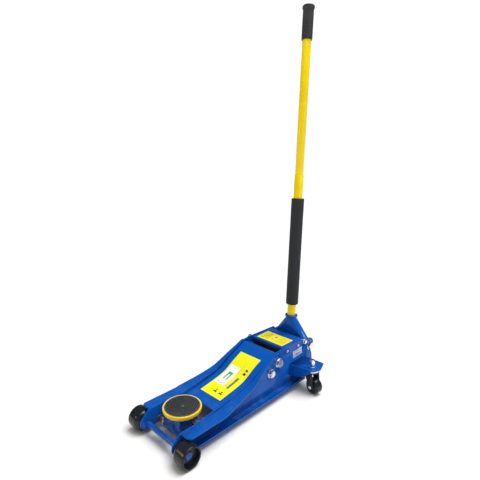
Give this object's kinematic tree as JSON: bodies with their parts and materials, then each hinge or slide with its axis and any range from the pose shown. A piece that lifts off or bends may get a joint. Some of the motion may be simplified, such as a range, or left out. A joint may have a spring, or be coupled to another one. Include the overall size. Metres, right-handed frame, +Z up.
{
  "type": "trolley jack",
  "caption": "Low-profile hydraulic trolley jack with a levelling saddle, front rollers, swivel casters and a long padded pump handle.",
  "frame": {"origin": "middle of the jack's footprint, on the floor", "axes": "+Z up, the saddle end towards -Y, the handle end towards +Y, +X towards the side plate that carries the side label (the two side plates are mirror images about X = 0)"},
  "size_m": [0.4238, 0.7984, 1.4972],
  "materials": {
    "blue_paint": "gloss",
    "yellow_paint": "gloss",
    "zinc_steel": "zinc plated",
    "gold_zinc": "yellow zinc plated",
    "dark_steel": "oiled",
    "chrome_rod": "hard chrome",
    "black_wheel": "gloss",
    "pad_rubber": "matte",
    "foam_rubber": "matte",
    "black_paint": "satin",
    "yellow_label": "gloss"
  },
  "bodies": {
    "frame": {"side_plate_right": "blue_paint", "side_plate_left": "blue_paint", "front_axle": "blue_paint", "axle_caps": "blue_paint", "rear_cover": "blue_paint", "cover_screws": "zinc_steel", "spreader_tube": "dark_steel", "stop_rod": "zinc_steel", "handle_pivot_bolts": "zinc_steel", "arm_pivot_shaft": "dark_steel", "arm_pivot_bolts": "zinc_steel", "link_pivot_bolts": "zinc_steel", "return_springs": "dark_steel", "pump_block": "dark_steel", "pump_block_bolts": "zinc_steel", "power_cylinder": "dark_steel", "reservoir_shell": "dark_steel", "gland_cap": "dark_steel", "filler_plug": "pad_rubber", "caster_bracket_right": "blue_paint", "caster_bracket_left": "blue_paint", "caster_bolts": "zinc_steel", "caster_bearings": "zinc_steel", "frame_labels": "yellow_label"},
    "front_wheel_right_body": {"front_wheel_right": "black_wheel"},
    "front_wheel_left_body": {"front_wheel_left": "black_wheel"},
    "lift_arm_body": {"lift_arm": "blue_paint", "arm_pivot_tube": "dark_steel", "arm_bushes": "gold_zinc", "crank_pin": "zinc_steel", "crank_roller": "dark_steel", "yoke_pin": "zinc_steel", "arm_label": "yellow_label"},
    "saddle_yoke_body": {"saddle_yoke": "blue_paint", "link_pin": "zinc_steel", "link_spacers": "gold_zinc"},
    "saddle": {"saddle_cup": "yellow_paint", "saddle_pad": "pad_rubber", "pad_screw": "zinc_steel"},
    "link_rods": {"link_rod_right": "blue_paint", "link_rod_left": "blue_paint"},
    "ram_body": {"ram": "chrome_rod", "ram_head": "dark_steel"},
    "plungers": {"pump_plungers": "zinc_steel", "pump_springs": "zinc_steel"},
    "valve": {"release_valve": "zinc_steel"},
    "socket": {"handle_socket": "blue_paint", "roller_pin": "zinc_steel", "pump_rollers": "dark_steel"},
    "handle": {"handle_lower_tube": "yellow_paint", "handle_upper_tube": "yellow_paint", "release_coupling": "dark_steel", "foam_sleeve": "foam_rubber", "handle_grip": "foam_rubber"},
    "caster_right": {"caster_fork_right": "black_paint", "caster_axle_right": "zinc_steel"},
    "caster_left": {"caster_fork_left": "black_paint", "caster_axle_left": "zinc_steel"},
    "caster_right_wheel": {"caster_wheel_right": "black_wheel"},
    "caster_left_wheel": {"caster_wheel_left": "black_wheel"}
  },
  "joints": [
    {"name": "front_wheel_right_spin", "type": "hinge", "parent": "frame", "child": "front_wheel_right_body", "pos_m": [0.123, -0.36223, 0.037], "axis": [1, 0, 0], "continuous": true},
    {"name": "front_wheel_left_spin", "type": "hinge", "parent": "frame", "child": "front_wheel_left_body", "pos_m": [-0.123, -0.36223, 0.037], "axis": [1, 0, 0], "continuous": true},
    {"name": "arm_lift", "type": "hinge", "parent": "frame", "child": "lift_arm_body", "pos_m": [0, 0.11778, 0.136], "axis": [-1, 0, 0], "range_deg": [0, 68]},
    {"name": "yoke_level", "type": "hinge", "parent": "lift_arm_body", "child": "saddle_yoke_body", "pos_m": [0, -0.27022, 0.062], "axis": [-1, 0, 0], "range_deg": [-68.5, 0.5]},
    {"name": "saddle_turn", "type": "hinge", "parent": "saddle_yoke_body", "child": "saddle", "pos_m": [0, -0.28173, 0.088], "axis": [0, 0, 1], "continuous": true},
    {"name": "link_swing", "type": "hinge", "parent": "frame", "child": "link_rods", "pos_m": [0, 0.06978, 0.111], "axis": [-1, 0, 0], "range_deg": [-0.5, 68.5]},
    {"name": "ram_extend", "type": "slide", "parent": "frame", "child": "ram_body", "axis": [0, -1, 0], "range_m": [-0.0005, 0.07879]},
    {"name": "handle_pump", "type": "hinge", "parent": "frame", "child": "socket", "pos_m": [0, 0.32477, 0.14], "axis": [-1, 0, 0], "range_deg": [0, 75]},
    {"name": "plunger_stroke", "type": "slide", "parent": "frame", "child": "plungers", "axis": [0, 0, -1], "range_m": [-0.0005, 0.02668], "deforming": ["pump_springs"]},
    {"name": "handle_twist", "type": "hinge", "parent": "socket", "child": "handle", "pos_m": [0, 0.3068, 0.14091], "axis": [0, 0.0506, 0.9987], "range_deg": [0, 180]},
    {"name": "valve_turn", "type": "hinge", "parent": "frame", "child": "valve", "pos_m": [0, 0.30778, 0.105], "axis": [0, 0, 1], "range_deg": [-1, 181]},
    {"name": "caster_right_swivel", "type": "hinge", "parent": "frame", "child": "caster_right", "pos_m": [0.167, 0.23178, 0.09], "axis": [0, 0, 1], "continuous": true},
    {"name": "caster_left_swivel", "type": "hinge", "parent": "frame", "child": "caster_left", "pos_m": [-0.167, 0.23178, 0.09], "axis": [0, 0, 1], "continuous": true},
    {"name": "caster_right_roll", "type": "hinge", "parent": "caster_right", "child": "caster_right_wheel", "pos_m": [0.17987, 0.22997, 0.031], "axis": [0.1392, 0.9903, 0], "continuous": true},
    {"name": "caster_left_roll", "type": "hinge", "parent": "caster_left", "child": "caster_left_wheel", "pos_m": [-0.17987, 0.22997, 0.031], "axis": [-0.1392, 0.9903, 0], "continuous": true}
  ],
  "couplings": [
    {"joint": "yoke_level", "follows": "arm_lift", "ratio": -1},
    {"joint": "link_swing", "follows": "arm_lift", "ratio": 1},
    {"joint": "ram_extend", "follows": "arm_lift", "m_per_rad": 0.065963},
    {"joint": "plunger_stroke", "follows": "handle_pump", "m_per_rad": 0.02},
    {"joint": "valve_turn", "follows": "handle_twist", "ratio": 1}
  ]
}
